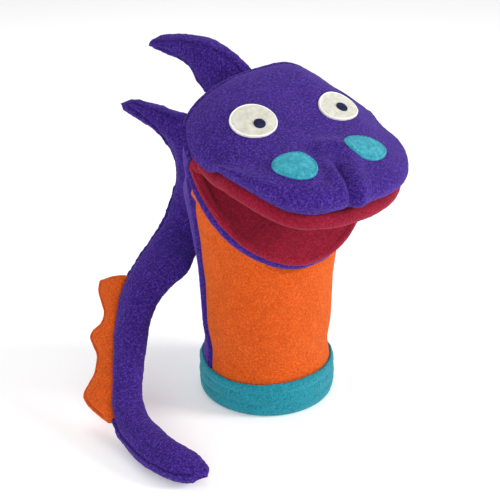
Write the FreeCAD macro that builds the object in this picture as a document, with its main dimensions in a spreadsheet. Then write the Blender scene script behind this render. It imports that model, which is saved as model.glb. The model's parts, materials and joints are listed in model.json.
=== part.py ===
import FreeCAD, Part
import math
import os
from FreeCAD import Placement, Rotation, Vector

# A fleece hand puppet of a small dragon with a moving mouth.
# Frame: millimetres, +Z up, origin at the centre of the arm opening, on the floor.
# The face looks towards -Y, so the puppet's own right side is at -X.

SIZES = [
    # name, millimetres or degrees, what it is
    ("sleeve_radius", 47.0, "outside of the sleeve tube"),
    ("sleeve_straight", 92.0, "the tube widens above this height"),
    ("sleeve_flare", 22.0, "how much wider each side is at the mouth fold"),
    ("sleeve_lean", 3.0, "how far the tube leans forward at the mouth fold"),
    ("fleece_thick", 2.5, "one layer of fleece"),
    ("cuff_height", 26.0, "height of the folded cuff"),
    ("cuff_gap", 0.2, "play between the sleeve and the cuff's two layers"),
    ("cuff_fold", 12.0, "solid fold below the tucked-in sleeve end"),
    ("thread_radius", 0.45, "sewing thread"),
    ("mouth_depth_y", -16.0, "mouth fold, front to back"),
    ("mouth_height", 191.0, "mouth fold above the floor"),
    ("upper_tilt", 17.6, "upper palate below the horizontal"),
    ("lower_tilt", 61.0, "lower palate below the horizontal"),
    ("palate_thick", 3.0, "lining of the mouth"),
    ("upper_half_width", 66.0, "upper palate"),
    ("upper_depth", 83.0, "upper palate, fold to lip"),
    ("upper_roll", 6.6, "rolled red lip of the upper palate"),
    ("upper_roll_width", 8.0, "rolled red lip, across"),
    ("lower_half_width", 69.0, "lower palate"),
    ("lower_depth", 80.0, "lower palate, fold to lip"),
    ("lip_band_height", 7.0, "purple band under the lower lip"),
    ("lip_band_width", 5.0, "purple band, across"),
    ("plate_thick", 1.5, "stiff board behind each palate"),
    ("plate_inset", 12.0, "board's edge inside the palate's edge"),
    ("fold_gap", 1.0, "palates and boards start this far from the fold line"),
    ("pocket_wall", 1.5, "finger and thumb pocket lining"),
    ("finger_pocket_height", 15.0, "outside height of the finger pocket"),
    ("finger_pocket_half_width", 41.0, "finger pocket"),
    ("finger_pocket_depth", 58.0, "finger pocket in front of the fold"),
    ("thumb_pocket_height", 23.0, "outside height of the thumb pocket"),
    ("thumb_pocket_half_width", 16.0, "thumb pocket"),
    ("thumb_pocket_depth", 64.0, "thumb pocket in front of the fold"),
    ("head_half_width", 71.0, "head, between the mouth corners"),
    ("head_corner_height", 7.0, "mouth corner of the face above the upper palate"),
    ("wadding_thick", 3.6, "wadding under the face"),
    ("felt_thick", 1.6, "felt of the eyes and nostrils"),
    ("pupil_thick", 1.0, "felt of the pupils"),
    ("eye_half_width", 15.2, "eye, left to right"),
    ("eye_half_length", 14.4, "eye, front to back"),
    ("pupil_radius", 4.2, "pupil"),
    ("nostril_half_width", 14.2, "nostril, left to right"),
    ("nostril_half_length", 12.4, "nostril, front to back"),
    ("seam_allowance", 2.6, "skin between the stuffing and the outside"),
]


def make_sheet(doc):
    """Driving dimensions, one aliased cell each."""
    sheet = doc.addObject("Spreadsheet::Sheet", "Sizes")
    for row, (name, value, meaning) in enumerate(SIZES, start=1):
        sheet.set("A%d" % row, str(value))
        sheet.setAlias("A%d" % row, name)
        sheet.set("B%d" % row, meaning)
    doc.recompute()
    return sheet


doc = FreeCAD.newDocument("MouthPuppet")
sheet = make_sheet(doc)
sub_parts = []


def size(name):
    return float(sheet.get(name))


def keep(obj, label):
    """Name a finished sub-part and put it on the export list."""
    obj.Label = label
    sub_parts.append(obj)
    return obj


def keep_shape(shape, label, place=None):
    """A sub-part whose free-form shape is computed here."""
    obj = doc.addObject("Part::Feature", label)
    obj.Shape = shape
    obj.Placement = place or Placement()
    return keep(obj, label)


def spline(points):
    curve = Part.BSplineCurve()
    curve.interpolate(points)
    return curve


def spline_edge(points):
    return spline(points).toShape()


def lofted(wires, ruled=False):
    """Solid through closed sections, turned right side out."""
    solid = Part.makeLoft(wires, True, ruled)
    if solid.Volume < 0:
        solid.reverse()
    return solid


# Superellipse powers of the outlines: 2 is an ellipse, more is squarer.
UPPER_POWER = 2.69
LOWER_POWER = 1.94
HEAD_POWER = 2.5


# ---------------------------------------------------------------- mouth frame

def fold_line():
    """A point on the mouth fold; head and jaw both turn about X through it."""
    return Vector(0, size("mouth_depth_y"), size("mouth_height"))


def head_place():
    """Local -Y runs from the fold to the upper lip, +Z out through the face."""
    return Placement(fold_line(), Rotation(Vector(1, 0, 0), size("upper_tilt")))


def jaw_place():
    """Local -Y runs from the fold to the lower lip, +Z into the mouth."""
    return Placement(fold_line(), Rotation(Vector(1, 0, 0), size("lower_tilt")))


def bulge(fraction, power):
    """Superellipse: how deep the outline still is at a fraction of its half width."""
    return (1.0 - min(1.0, abs(fraction)) ** power) ** (1.0 / power)


# ---------------------------------------------------------------- PartDesign helpers

def origin_plane(body, role):
    for feature in body.Origin.OriginFeatures:
        if feature.Role == role:
            return feature
    raise RuntimeError("no plane " + role)


def new_body(label):
    body = doc.addObject("PartDesign::Body", label)
    return keep(body, label)


def new_sketch(body, name, role="XY_Plane", height=0.0):
    """A sketch flat on one of the body's own planes, lifted by height."""
    sketch = body.newObject("Sketcher::SketchObject", name)
    sketch.AttachmentSupport = [(origin_plane(body, role), "")]
    sketch.MapMode = "FlatFace"
    sketch.AttachmentOffset = Placement(Vector(0, 0, height), Rotation())
    return sketch


def close_outline(sketch, corners):
    """Straight sides through the given corners of an open outline."""
    for first, second in zip(corners[:-1], corners[1:]):
        sketch.addGeometry(Part.LineSegment(first, second), False)


def tongue_points(half_width, depth, power, count=15):
    """Rounded front edge of a palate-like outline, from -X round to +X, in -Y."""
    points = []
    for step in range(count + 1):
        angle = math.pi * step / count
        x = -half_width * math.cos(angle)
        points.append(Vector(x, -depth * bulge(x / half_width, power), 0))
    return points


def draw_tongue(sketch, half_width, depth, power, back=0.0):
    """Tongue-shaped outline: curved front and sides, straight back at y = back."""
    shift = Vector(0, back, 0)
    points = [point + shift for point in tongue_points(half_width, depth, power)]
    points[0].y = points[-1].y = back
    sketch.addGeometry(spline(points), False)
    close_outline(sketch, [points[-1], points[0]])


def draw_box(sketch, x_low, x_high, y_low, y_high):
    corners = [
        Vector(x_low, y_low, 0),
        Vector(x_high, y_low, 0),
        Vector(x_high, y_high, 0),
        Vector(x_low, y_high, 0),
    ]
    close_outline(sketch, corners + [corners[0]])


def pad(body, sketch, length_name, reversed_side=False):
    feature = body.newObject("PartDesign::Pad", body.Name + "Pad")
    feature.Profile = sketch
    feature.setExpression("Length", "Sizes." + length_name)
    feature.Reversed = reversed_side
    sketch.Visibility = False
    return feature


def pocket(body, sketch, length_expression, reversed_side):
    """Cut from the sketch; the loss of volume is checked at once."""
    doc.recompute()
    before = body.Shape.Volume
    feature = body.newObject("PartDesign::Pocket", body.Name + "Pocket")
    feature.Profile = sketch
    feature.setExpression("Length", length_expression)
    feature.Reversed = reversed_side
    doc.recompute()
    if body.Shape.Volume > before - 1.0:
        raise RuntimeError("pocket cuts nothing in " + body.Label)
    return feature


# ---------------------------------------------------------------- sleeve

def make_cuff_band():
    """Turquoise cuff: a strip folded double round the sleeve's lower end."""
    body = new_body("cuff_band")
    sketch = new_sketch(body, "CuffSection", "XZ_Plane")
    fleece = size("fleece_thick")
    outside = size("sleeve_radius")
    draw_box(sketch, outside - 2 * fleece, outside + fleece, 0, size("cuff_height"))
    ring = body.newObject("PartDesign::Revolution", "CuffRing")
    ring.Profile = sketch
    ring.ReferenceAxis = (sketch, ["V_Axis"])
    ring.Angle = 360
    doc.recompute()
    before = body.Shape.Volume
    slot = new_sketch(body, "CuffSlot", "XZ_Plane")
    play = size("cuff_gap")
    draw_box(slot, outside - fleece - play, outside + play, size("cuff_fold"), size("cuff_height"))
    groove = body.newObject("PartDesign::Groove", "CuffGroove")
    groove.Profile = slot
    groove.ReferenceAxis = (slot, ["V_Axis"])
    groove.Angle = 360
    doc.recompute()
    if body.Shape.Volume > before - 1.0:
        raise RuntimeError("the cuff slot cuts nothing")


def make_cuff_stitching():
    """One turn of thread that sews the cuff's top edge to the sleeve."""
    thread = doc.addObject("Part::Torus", "CuffThread")
    thread.setExpression("Radius1", "Sizes.sleeve_radius + Sizes.fleece_thick + Sizes.thread_radius")
    thread.setExpression("Radius2", "Sizes.thread_radius")
    thread.setExpression("Placement.Base.z", "Sizes.cuff_height - 3")
    keep(thread, "cuff_stitching")


def sleeve_size(height):
    """Half width, front depth and back depth of the sleeve tube at a height."""
    radius = size("sleeve_radius")
    straight = size("sleeve_straight")
    rise = max(0.0, height - straight) / (size("mouth_height") - straight)
    half_width = radius + size("sleeve_flare") * rise ** 1.2
    front = radius + size("sleeve_lean") * rise
    back = radius - size("sleeve_lean") * rise
    return half_width, front, back


def sleeve_section(height, side):
    """Half ring of fleece: side -1 is the front, +1 the back."""
    half_width, front, back = sleeve_size(height)
    depth = front if side < 0 else back
    fleece = size("fleece_thick")
    centre = Vector(0, 0, height)
    begin = math.pi if side < 0 else 0.0
    arcs = []
    for inset in (0.0, fleece):
        ellipse = Part.Ellipse(centre, half_width - inset, depth - inset)
        arcs.append(Part.ArcOfEllipse(ellipse, begin, begin + math.pi))
    outer, inner = arcs
    edges = [outer.toShape(), Part.makeLine(outer.EndPoint, inner.EndPoint)]
    edges += [inner.toShape(), Part.makeLine(inner.StartPoint, outer.StartPoint)]
    return Part.Wire(Part.__sortEdges__(edges))


def turned_outline(half_width, depth, power, margin, angle):
    """Half outline of something that turns about the fold, as a face at an angle.

    The angle is measured below the forward horizontal.
    """
    place = Placement(fold_line(), Rotation(Vector(1, 0, 0), angle))
    points = tongue_points(half_width + margin, depth, power)
    points = [point + Vector(0, -margin, 0) for point in points]
    edge = spline_edge(points)
    first = Vector(points[0].x, 0, 0)
    last = Vector(points[-1].x, 0, 0)
    edges = [Part.makeLine(first, points[0]), edge, Part.makeLine(points[-1], last)]
    edges.append(Part.makeLine(last, first))
    face = Part.Face(Part.Wire(edges))
    face.Placement = place
    return face


def jaw_travel():
    """Everything the jaw passes through, from wide open to shut."""
    lowest = size("lower_tilt") + 16
    play = 2.5
    below = 11.5
    face = turned_outline(size("lower_half_width"), size("lower_depth"), LOWER_POWER, play, lowest)
    swept = face.revolve(fold_line(), Vector(1, 0, 0), -110)
    down = Rotation(Vector(1, 0, 0), lowest).multVec(Vector(0, 0, -below))
    return swept.fuse(face.extrude(down))


def head_travel():
    """Everything the back of the head passes through when it nods."""
    behind = 180.0
    below = 26.0
    reach = 54.0
    play = 3.5
    face = turned_outline(size("head_half_width"), reach, HEAD_POWER, play, behind - below)
    return face.revolve(fold_line(), Vector(1, 0, 0), below + 90)


def make_sleeve_panel(label, side):
    """Front or back half of the sleeve, from the cuff's slot up to the mouth."""
    heights = [14, 92, 104, 116, 128, 140, 152, 164, 176, 187]
    shape = lofted([sleeve_section(height, side) for height in heights], True)
    shape = shape.cut(jaw_travel()).cut(head_travel())
    largest = max(shape.Solids, key=lambda solid: solid.Volume)
    keep_shape(largest, label)


# ---------------------------------------------------------------- jaw

def make_lower_palate():
    """Red lining of the lower half of the mouth."""
    body = new_body("lower_palate")
    sketch = new_sketch(body, "LowerPalateOutline")
    draw_tongue(sketch, size("lower_half_width"), size("lower_depth"), LOWER_POWER, -size("fold_gap"))
    pad(body, sketch, "palate_thick", True)
    body.Placement = jaw_place()


def make_lower_lip_band():
    """Purple band along the lower lip, sewn under the palate's edge."""
    body = new_body("lower_lip_band")
    top = -size("palate_thick")
    band = size("lip_band_width")
    half_width = size("lower_half_width")
    depth = size("lower_depth")
    sketch = new_sketch(body, "LipBandOutline", height=top)
    back = -size("fold_gap") - size("lip_band_height")
    draw_tongue(sketch, half_width, depth + back, LOWER_POWER, back)
    pad(body, sketch, "lip_band_height", True)
    inside = new_sketch(body, "LipBandInside", height=top)
    draw_tongue(inside, half_width - band, depth + back - band, LOWER_POWER, back + 1)
    pocket(body, inside, "Sizes.lip_band_height", False)
    body.Placement = jaw_place()


def make_mouth_board(label, half_width, depth, power, place, level, downwards):
    """Stiff board that keeps one half of the mouth flat."""
    body = new_body(label)
    inset = size("plate_inset")
    sketch = new_sketch(body, label + "_outline", height=level)
    draw_tongue(sketch, half_width - inset, depth - inset, power, -size("fold_gap") - 1)
    pad(body, sketch, "plate_thick", downwards)
    body.Placement = place


def make_pouch(label, half_width, depth, power, height, back, level, downwards, place):
    """Fleece pouch for fingers or thumb, open at its back end."""
    body = new_body(label)
    wall = size("pocket_wall")
    sketch = new_sketch(body, label + "_outline", height=level)
    draw_tongue(sketch, half_width, depth, power, back)
    pad(body, sketch, height, downwards)
    way = -1 if downwards else 1
    inside = new_sketch(body, label + "_inside", height=level + way * wall)
    draw_tongue(inside, half_width - wall, depth, power, back + wall)
    length = "Sizes.%s - 2 * Sizes.pocket_wall" % height
    pocket(body, inside, length, not downwards)
    body.Placement = place


# ---------------------------------------------------------------- head

# Middle line of the head seen from the side, from the upper lip over the snout and
# the brow to the sewn rim, then down the back of the head: (forward of the fold,
# above the palate).
FACE_LINE = [
    (80, 9), (86, 15), (85, 22), (76, 27), (51, 28),
    (30, 30.5), (8, 34), (-15, 37.5), (-32, 38), (-41, 34),
]
BACK_LINE = [(-41.5, 33), (-47.5, 24), (-52, 10), (-53, -5), (-50, -18)]


def head_scale(fraction, forward):
    """How far a side line is drawn in, in depth and in height, at a fraction of the width.

    The sewn rim behind the eyes slopes down to the sides.
    """
    rear = min(1.0, max(0.0, (8.0 - forward) / 45.0))
    return bulge(fraction, HEAD_POWER), bulge(fraction, HEAD_POWER - 0.75 * rear)


def offset_line(line, distance):
    """Points of a side line, moved outwards by a distance."""
    curve = spline([Vector(0, -forward, above) for forward, above in line])
    moved = []
    for forward, above in line:
        point = Vector(0, -forward, above)
        tangent = curve.tangent(curve.parameter(point))[0]
        outward = tangent.cross(Vector(1, 0, 0)).normalize()
        moved.append(point - outward * distance)
    return moved


def head_section(line, fraction, inside, outside):
    """Section of a head layer at a fraction of the half width, as a closed wire."""
    thin = min(1.0, 2.0 * bulge(fraction, HEAD_POWER))
    corner = size("head_corner_height")
    x = fraction * size("head_half_width")

    def layer(distance):
        base = offset_line(line, 0.0)
        moved = offset_line(line, distance)
        points = []
        for start, end in zip(base, moved):
            depth, height = head_scale(fraction, -start.y)
            drawn_in = Vector(x, start.y * depth, corner + (start.z - corner) * height)
            points.append(drawn_in + (end - start) * thin)
        return points

    outer = layer(outside)
    inner = layer(inside)
    inner.reverse()
    edges = [spline_edge(outer), Part.makeLine(outer[-1], inner[0])]
    edges += [spline_edge(inner), Part.makeLine(inner[-1], outer[0])]
    return Part.Wire(edges)


def head_layer(line, inside, outside, widest=0.993):
    """Layer of cloth over the head between two distances from its surface."""
    limit = math.acos(-widest)
    count = 14
    wires = []
    for step in range(count + 1):
        angle = (math.pi - limit) + (2 * limit - math.pi) * step / count
        wires.append(head_section(line, -math.cos(angle), inside, outside))
    return lofted(wires)


def make_head_shells():
    fleece = size("fleece_thick")
    keep_shape(head_layer(FACE_LINE, -fleece, 0.0), "face_panel", head_place())
    keep_shape(head_layer(BACK_LINE, -fleece, 0.0), "head_back_panel", head_place())
    wadding = FACE_LINE[2:-1]
    deep = fleece + size("wadding_thick")
    keep_shape(head_layer(wadding, -deep, -fleece - 0.4, 0.94), "face_wadding", head_place())


def make_upper_palate():
    """Red lining of the upper half of the mouth, with its edge rolled out as a lip."""
    body = new_body("upper_palate")
    half_width = size("upper_half_width")
    depth = size("upper_depth")
    roll = size("upper_roll_width")
    sketch = new_sketch(body, "UpperPalateOutline")
    draw_tongue(sketch, half_width, depth, UPPER_POWER, -size("fold_gap"))
    pad(body, sketch, "upper_roll")
    inside = new_sketch(body, "UpperPalateInside", height=size("upper_roll"))
    draw_tongue(inside, half_width - roll, depth - roll, UPPER_POWER, 2)
    pocket(body, inside, "Sizes.upper_roll - Sizes.palate_thick", False)
    body.Placement = head_place()


def on_head(forward, above, across=0.0):
    return head_place().multVec(Vector(across, -forward, above))


def felt_disc(label, across, forward, half_width, half_length, inside, outside):
    """Oval of felt that follows the face: an oval prism met with a thin layer."""
    oval = doc.addObject("Part::Ellipse", label + "_oval")
    oval.setExpression("MajorRadius", "Sizes." + half_width)
    oval.setExpression("MinorRadius", "Sizes." + half_length)
    oval.Placement = Placement(on_head(forward, 0, across), head_place().Rotation)
    prism = doc.addObject("Part::Extrusion", label + "_prism")
    prism.Base = oval
    prism.DirMode = "Normal"
    prism.LengthFwd = 60
    prism.Solid = True
    layer = doc.addObject("Part::Feature", label + "_layer")
    layer.Shape = head_layer(FACE_LINE, inside, outside)
    layer.Placement = head_place()
    piece = doc.addObject("Part::Common", label)
    piece.Base = prism
    piece.Tool = layer
    keep(piece, label)


def make_face_felts():
    felt = size("felt_thick")
    pupil = size("pupil_thick")
    play = 0.05
    top = felt + pupil
    for side, name in ((-1, "right"), (1, "left")):
        felt_disc("eye_" + name, 32 * side, 10, "eye_half_width", "eye_half_length", play, felt)
        felt_disc("pupil_" + name, 32 * side + 1, 14, "pupil_radius", "pupil_radius", felt + play, top)
        felt_disc("nostril_" + name, 27 * side, 53.5, "nostril_half_width", "nostril_half_length", play, felt)


def make_snout_tack():
    """Thread that pulls the philtrum in between the nostrils."""
    thread = size("thread_radius")
    knots = []
    for forward, above in ((80.5, 26.9), (74.0, 28.9), (67.5, 29.8)):
        knot = Part.makeCylinder(thread, 4.0, Vector(-2, -forward, above), Vector(1, 0, 0))
        knots.append(knot)
    keep_shape(Part.makeCompound(knots), "snout_tack_stitches", head_place())


# ---------------------------------------------------------------- stuffed pieces

def lens_wires(edge_a, edge_b, half_thick, facing, seam):
    """Wires of one cross-section: right layer, left layer and stuffing core.

    edge_a and edge_b are its two sewn edges, facing is the way the right layer looks.
    """
    middle = (edge_a + edge_b) * 0.5
    reach = (edge_b - edge_a) * 0.5
    width = reach.Length
    across = Vector(reach).normalize()
    up = facing - across * facing.dot(across)
    up.normalize()

    def dome(half, height, side):
        points = []
        for step in range(9):
            angle = math.pi * step / 8
            sideways = across * (-half * math.cos(angle))
            points.append(middle + sideways + up * (side * height * math.sin(angle)))
        return points

    core_half = max(0.8, width - 1.6 * seam)
    core_high = max(0.5, half_thick - seam)
    play = 0.2
    wires = {}
    for name, side in (("right", 1), ("left", -1)):
        outer = dome(width, half_thick, side)
        inner = dome(core_half, core_high, side)
        inner.reverse()
        edges = [spline_edge(outer), Part.makeLine(outer[-1], inner[0])]
        edges += [spline_edge(inner), Part.makeLine(inner[-1], outer[0])]
        wires[name] = Part.Wire(edges)
    top = dome(core_half - play, core_high - play, 1)
    bottom = dome(core_half - play, core_high - play, -1)
    bottom.reverse()
    wires["core"] = Part.Wire([spline_edge(top), spline_edge(bottom)])
    return wires


def make_stuffed(name, stations, facing, seam):
    """Two sewn fleece layers round a stuffing core, lofted through the stations.

    A station is (one edge, other edge, half thickness).
    """
    sections = []
    for edge_a, edge_b, half_thick in stations:
        sections.append(lens_wires(Vector(*edge_a), Vector(*edge_b), half_thick, facing, seam))
    for side in ("right", "left"):
        shape = lofted([section[side] for section in sections])
        keep_shape(shape, "%s_%s_layer" % (name, side))
    keep_shape(lofted([section["core"] for section in sections]), name + "_stuffing")


FIN_FACING = Vector(-0.819, -0.574, 0.0)
TAIL_FACING = Vector(-0.633, -0.232, 0.739)

# Stations: top or outer edge, lower or inner edge, half thickness.
UPPER_SPIKE = [
    ((3, 30, 230), (-3, 43.5, 206), 5.5),
    ((-1, 38, 240), (-14, 57, 209), 7.0),
    ((-8, 48, 247), (-18, 62, 220), 7.5),
    ((-16, 59, 251), (-21, 67, 228), 7.0),
    ((-25, 72, 251.5), (-28, 77, 234), 6.0),
    ((-34, 85, 248.5), (-36, 88, 237.5), 4.5),
    ((-38, 91, 244.5), (-38.6, 91.8, 240.5), 2.5),
]
DORSAL_FIN = [
    ((-1.5, 50.5, 142), (-28, 88.5, 131), 4.5),
    ((-1.5, 50.5, 152), (-27.5, 87.5, 139), 5.0),
    ((-1.5, 50.5, 170), (-27.3, 87, 148), 5.5),
    ((-14.4, 68.6, 188.3), (-26.7, 86.1, 156.3), 6.0),
]
LOWER_SPIKE = [
    ((-16.8, 71.9, 190.6), (-28.8, 88.9, 159.0), 6.0),
    ((-22.5, 80, 192.5), (-31.3, 92.6, 169), 6.3),
    ((-30, 91, 196), (-36, 99.5, 180), 6.0),
    ((-38, 102, 199.5), (-42, 107.5, 186), 5.0),
    ((-46, 114, 199.5), (-48, 116.8, 191), 3.8),
    ((-50, 119, 197), (-50.6, 119.9, 193.5), 2.2),
]
TAIL_BASE = [
    ((-4, 57, 136), (-2, 53.5, 104), 4.5),
    ((-17, 76, 132), (-10, 57, 102), 5.5),
    ((-31, 86, 122), (-24, 51, 98), 6.5),
    ((-52, 77, 101), (-42, 36, 90), 7.0),
    ((-71, 71, 84), (-62, 36, 80), 7.0),
    ((-79, 68.5, 77), (-72, 33, 72.5), 7.0),
]
TAIL_MIDDLE = [
    ((-81.5, 66.5, 74.5), (-74.5, 31, 69.5), 7.0),
    ((-88, 61, 66), (-79.5, 27, 63), 7.0),
    ((-100, 48, 51), (-87, 19, 54), 7.0),
    ((-110, 32, 38), (-94, 11, 45), 7.0),
    ((-119, 16, 25.5), (-100, 3, 38), 7.0),
    ((-126.5, 2.5, 14.5), (-106, -6.5, 30), 7.0),
]
TAIL_TIP = [
    ((-128, -0.5, 12), (-107, -10, 28.5), 7.0),
    ((-130.8, -19, 6), (-110.8, -24, 22.4), 7.0),
    ((-131, -39.5, 3.8), (-111.2, -41.5, 19), 6.8),
    ((-129.5, -62, 3.8), (-112, -60, 17), 6.4),
    ((-124, -80, 4.5), (-110.2, -74, 15), 5.2),
    ((-116, -90, 7), (-108.7, -83, 12.5), 3.0),
]


# The crest's three knobs: (share of the tail's middle, how far it stands out there).
CREST_REACH = [
    (0.03, 19), (0.08, 20.3), (0.15, 20), (0.22, 18.8), (0.28, 13.5), (0.33, 8), (0.39, 9.8), (0.45, 17),
    (0.49, 18.4), (0.53, 15.2), (0.58, 10.8), (0.63, 10.3), (0.69, 12), (0.74, 17), (0.79, 21.2), (0.84, 19),
    (0.90, 14.5), (0.96, 9.5),
]


def crest_stations():
    """Stations of the crest along the outer seam of the tail's middle."""
    outer = spline([Vector(*station[0]) for station in TAIL_MIDDLE])
    inner = spline([Vector(*station[1]) for station in TAIL_MIDDLE])
    stations = []
    for share, reach in CREST_REACH:
        start = outer.value(outer.FirstParameter + share * (outer.LastParameter - outer.FirstParameter))
        below = inner.value(inner.FirstParameter + share * (inner.LastParameter - inner.FirstParameter))
        outward = (start - below).normalize()
        near = start + outward * 0.6
        far = start + outward * reach
        stations.append((tuple(far), tuple(near), 3.6))
    return stations


# ---------------------------------------------------------------- build

def build():
    make_cuff_band()
    make_cuff_stitching()
    make_sleeve_panel("belly_panel", -1)
    make_sleeve_panel("back_panel", 1)

    make_lower_palate()
    make_lower_lip_band()
    lower = (size("lower_half_width"), size("lower_depth"))
    upper = (size("upper_half_width"), size("upper_depth"))
    below = -size("palate_thick")
    make_mouth_board("lower_mouth_board", lower[0], lower[1], LOWER_POWER, jaw_place(), below, True)
    make_pouch(
        "thumb_pocket", size("thumb_pocket_half_width"), size("thumb_pocket_depth") - 20, 3.0,
        "thumb_pocket_height", -20, below - size("plate_thick"), True, jaw_place()
    )

    make_upper_palate()
    above = size("palate_thick")
    make_mouth_board("upper_mouth_board", upper[0], upper[1], UPPER_POWER, head_place(), above, False)
    make_pouch(
        "finger_pocket", size("finger_pocket_half_width"), size("finger_pocket_depth"), 2.6,
        "finger_pocket_height", -2, above + size("plate_thick"), False, head_place()
    )
    make_head_shells()
    make_face_felts()
    make_snout_tack()

    seam = size("seam_allowance")
    make_stuffed("upper_spike", UPPER_SPIKE, FIN_FACING, seam)
    make_stuffed("dorsal_fin", DORSAL_FIN, FIN_FACING, seam)
    make_stuffed("lower_spike", LOWER_SPIKE, FIN_FACING, seam)
    make_stuffed("tail_base", TAIL_BASE, TAIL_FACING, seam)
    make_stuffed("tail_middle", TAIL_MIDDLE, TAIL_FACING, seam)
    make_stuffed("tail_tip", TAIL_TIP, TAIL_FACING, seam)
    make_stuffed("crest", crest_stations(), TAIL_FACING, 1.6)


def check_document():
    """Stop on any failed object or bad shape before anything is written."""
    for obj in doc.Objects:
        if "Invalid" in obj.State or "Error" in obj.State:
            raise RuntimeError("%s failed: %s" % (obj.Label, obj.State))
    for obj in sub_parts:
        if obj.Shape.isNull() or not obj.Shape.isValid() or not obj.Shape.Solids:
            raise RuntimeError("bad shape: " + obj.Label)


def export():
    os.makedirs("parts", exist_ok=True)
    for obj in sub_parts:
        obj.Shape.exportStep("parts/%s.step" % obj.Label)
        box = obj.Shape.BoundBox
        print("%-24s %8.0f mm3  z %6.1f..%6.1f" % (obj.Label, obj.Shape.Volume, box.ZMin, box.ZMax))


build()
doc.recompute()
check_document()
export()
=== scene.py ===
import json
import math

import bmesh
import bpy
import numpy as np
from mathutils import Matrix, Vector, noise
from mathutils.bvhtree import BVHTree


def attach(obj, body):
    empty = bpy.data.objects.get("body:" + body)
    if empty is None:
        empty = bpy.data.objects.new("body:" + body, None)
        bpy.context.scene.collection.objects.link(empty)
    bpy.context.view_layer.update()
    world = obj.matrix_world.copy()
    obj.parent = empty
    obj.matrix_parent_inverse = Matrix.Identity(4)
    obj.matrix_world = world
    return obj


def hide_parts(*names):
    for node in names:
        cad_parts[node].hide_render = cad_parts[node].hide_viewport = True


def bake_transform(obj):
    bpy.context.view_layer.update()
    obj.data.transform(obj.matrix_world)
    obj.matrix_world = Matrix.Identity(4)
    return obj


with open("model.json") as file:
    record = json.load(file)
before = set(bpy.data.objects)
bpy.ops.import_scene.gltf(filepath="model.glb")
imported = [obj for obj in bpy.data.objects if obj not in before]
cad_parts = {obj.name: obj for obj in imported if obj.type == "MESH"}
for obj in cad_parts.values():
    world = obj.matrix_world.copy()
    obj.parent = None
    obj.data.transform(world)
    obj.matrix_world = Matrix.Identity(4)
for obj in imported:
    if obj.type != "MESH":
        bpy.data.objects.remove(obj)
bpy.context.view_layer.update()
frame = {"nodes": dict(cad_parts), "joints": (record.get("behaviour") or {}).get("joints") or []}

# A fleece dragon hand puppet. Lengths below are in millimetres unless a name says otherwise,
# and mm() turns them into the frame's metres. +Z is up and the face looks towards -Y.

JOINTS = {joint["name"]: joint for joint in frame["joints"]}
FOLD = np.array(JOINTS["head_nod"]["pos_m"]) * 1000.0
UPPER_TILT = math.radians(17.6)
LOWER_TILT = math.radians(61.0)
SLEEVE_RADIUS = 47.0
FLEECE = 2.0
LINING = 1.2
PANEL_FOOT = 22.0
STRAIGHT_TOP = 92.0
FLARE = 22.0
LEAN = 3.0
LIP_UNDER = -9.5


# ---------------------------------------------------------------- small geometry tools

def mm(points):
    return np.asarray(points, float) * 0.001


def smooth_line(points, params):
    """Catmull-Rom curve through control points (k, d), read at params from 0 to 1."""
    points = np.asarray(points, float)
    count = len(points)
    first = 2 * points[0] - points[1]
    last = 2 * points[-1] - points[-2]
    ring = np.vstack([first, points, last])
    place = np.clip(np.asarray(params, float), 0, 1) * (count - 1)
    index = np.minimum(place.astype(int), count - 2)
    u = (place - index)[:, None]
    p0, p1, p2, p3 = (ring[index + k] for k in range(4))
    return 0.5 * (
        2 * p1 + (p2 - p0) * u + (2 * p0 - 5 * p1 + 4 * p2 - p3) * u ** 2
        + (3 * p1 - p0 - 3 * p2 + p3) * u ** 3
    )


def bulge(fraction, power):
    """Superellipse depth at a fraction of the half width."""
    return (1.0 - np.minimum(1.0, np.abs(fraction)) ** power) ** (1.0 / power)


def bump(x, centre, width):
    return np.exp(-((x - centre) / width) ** 2)


def step_up(x, low, high):
    t = np.clip((x - low) / (high - low), 0, 1)
    return t * t * (3 - 2 * t)


def unit(vectors):
    """The same directions with a length of one."""
    return vectors / np.maximum(np.linalg.norm(vectors, axis=-1, keepdims=True), 1e-6)


def circle(count, side, up):
    """Directions all round each place of a path, from side and up across it."""
    angles = np.linspace(0, 2 * math.pi, count, endpoint=False)
    return np.cos(angles)[None, :, None] * side[:, None] + np.sin(angles)[None, :, None] * up


def add_object(name, data):
    obj = bpy.data.objects.new(name, data)
    bpy.context.scene.collection.objects.link(obj)
    return obj


def tilted(local, tilt):
    """(across, forward of the fold, above the palate) to the frame, for head or jaw."""
    across, forward, above = local[..., 0], local[..., 1], local[..., 2]
    c, s = math.cos(tilt), math.sin(tilt)
    y = FOLD[1] - forward * c - above * s
    z = FOLD[2] - forward * s + above * c
    return np.stack([across + FOLD[0], y, z], -1)


def grid_normals(grid, closed=False):
    """Unit normals of a grid of points (rows, columns, 3)."""
    along = np.gradient(grid, axis=0)
    if closed:
        around = 0.5 * (np.roll(grid, -1, 1) - np.roll(grid, 1, 1))
    else:
        around = np.gradient(grid, axis=1)
    normal = np.cross(around, along)
    length = np.linalg.norm(normal, axis=-1, keepdims=True)
    return normal / np.maximum(length, 1e-9)


def fuzz_field(points, size, depth=3):
    """Smooth noise at each point, about -1 to 1; size is in millimetres."""
    flat = points.reshape(-1, 3) / size
    values = np.array([noise.fractal(Vector(p), 1.0, 2.0, depth) for p in flat])
    return values.reshape(points.shape[:-1])


def new_object(name, points, faces):
    mesh = bpy.data.meshes.new(name)
    mesh.from_pydata([tuple(p) for p in mm(points)], [], faces)
    mesh.validate()
    mesh.update()
    mesh.polygons.foreach_set("use_smooth", [True] * len(mesh.polygons))
    return add_object(name, mesh)


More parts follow.
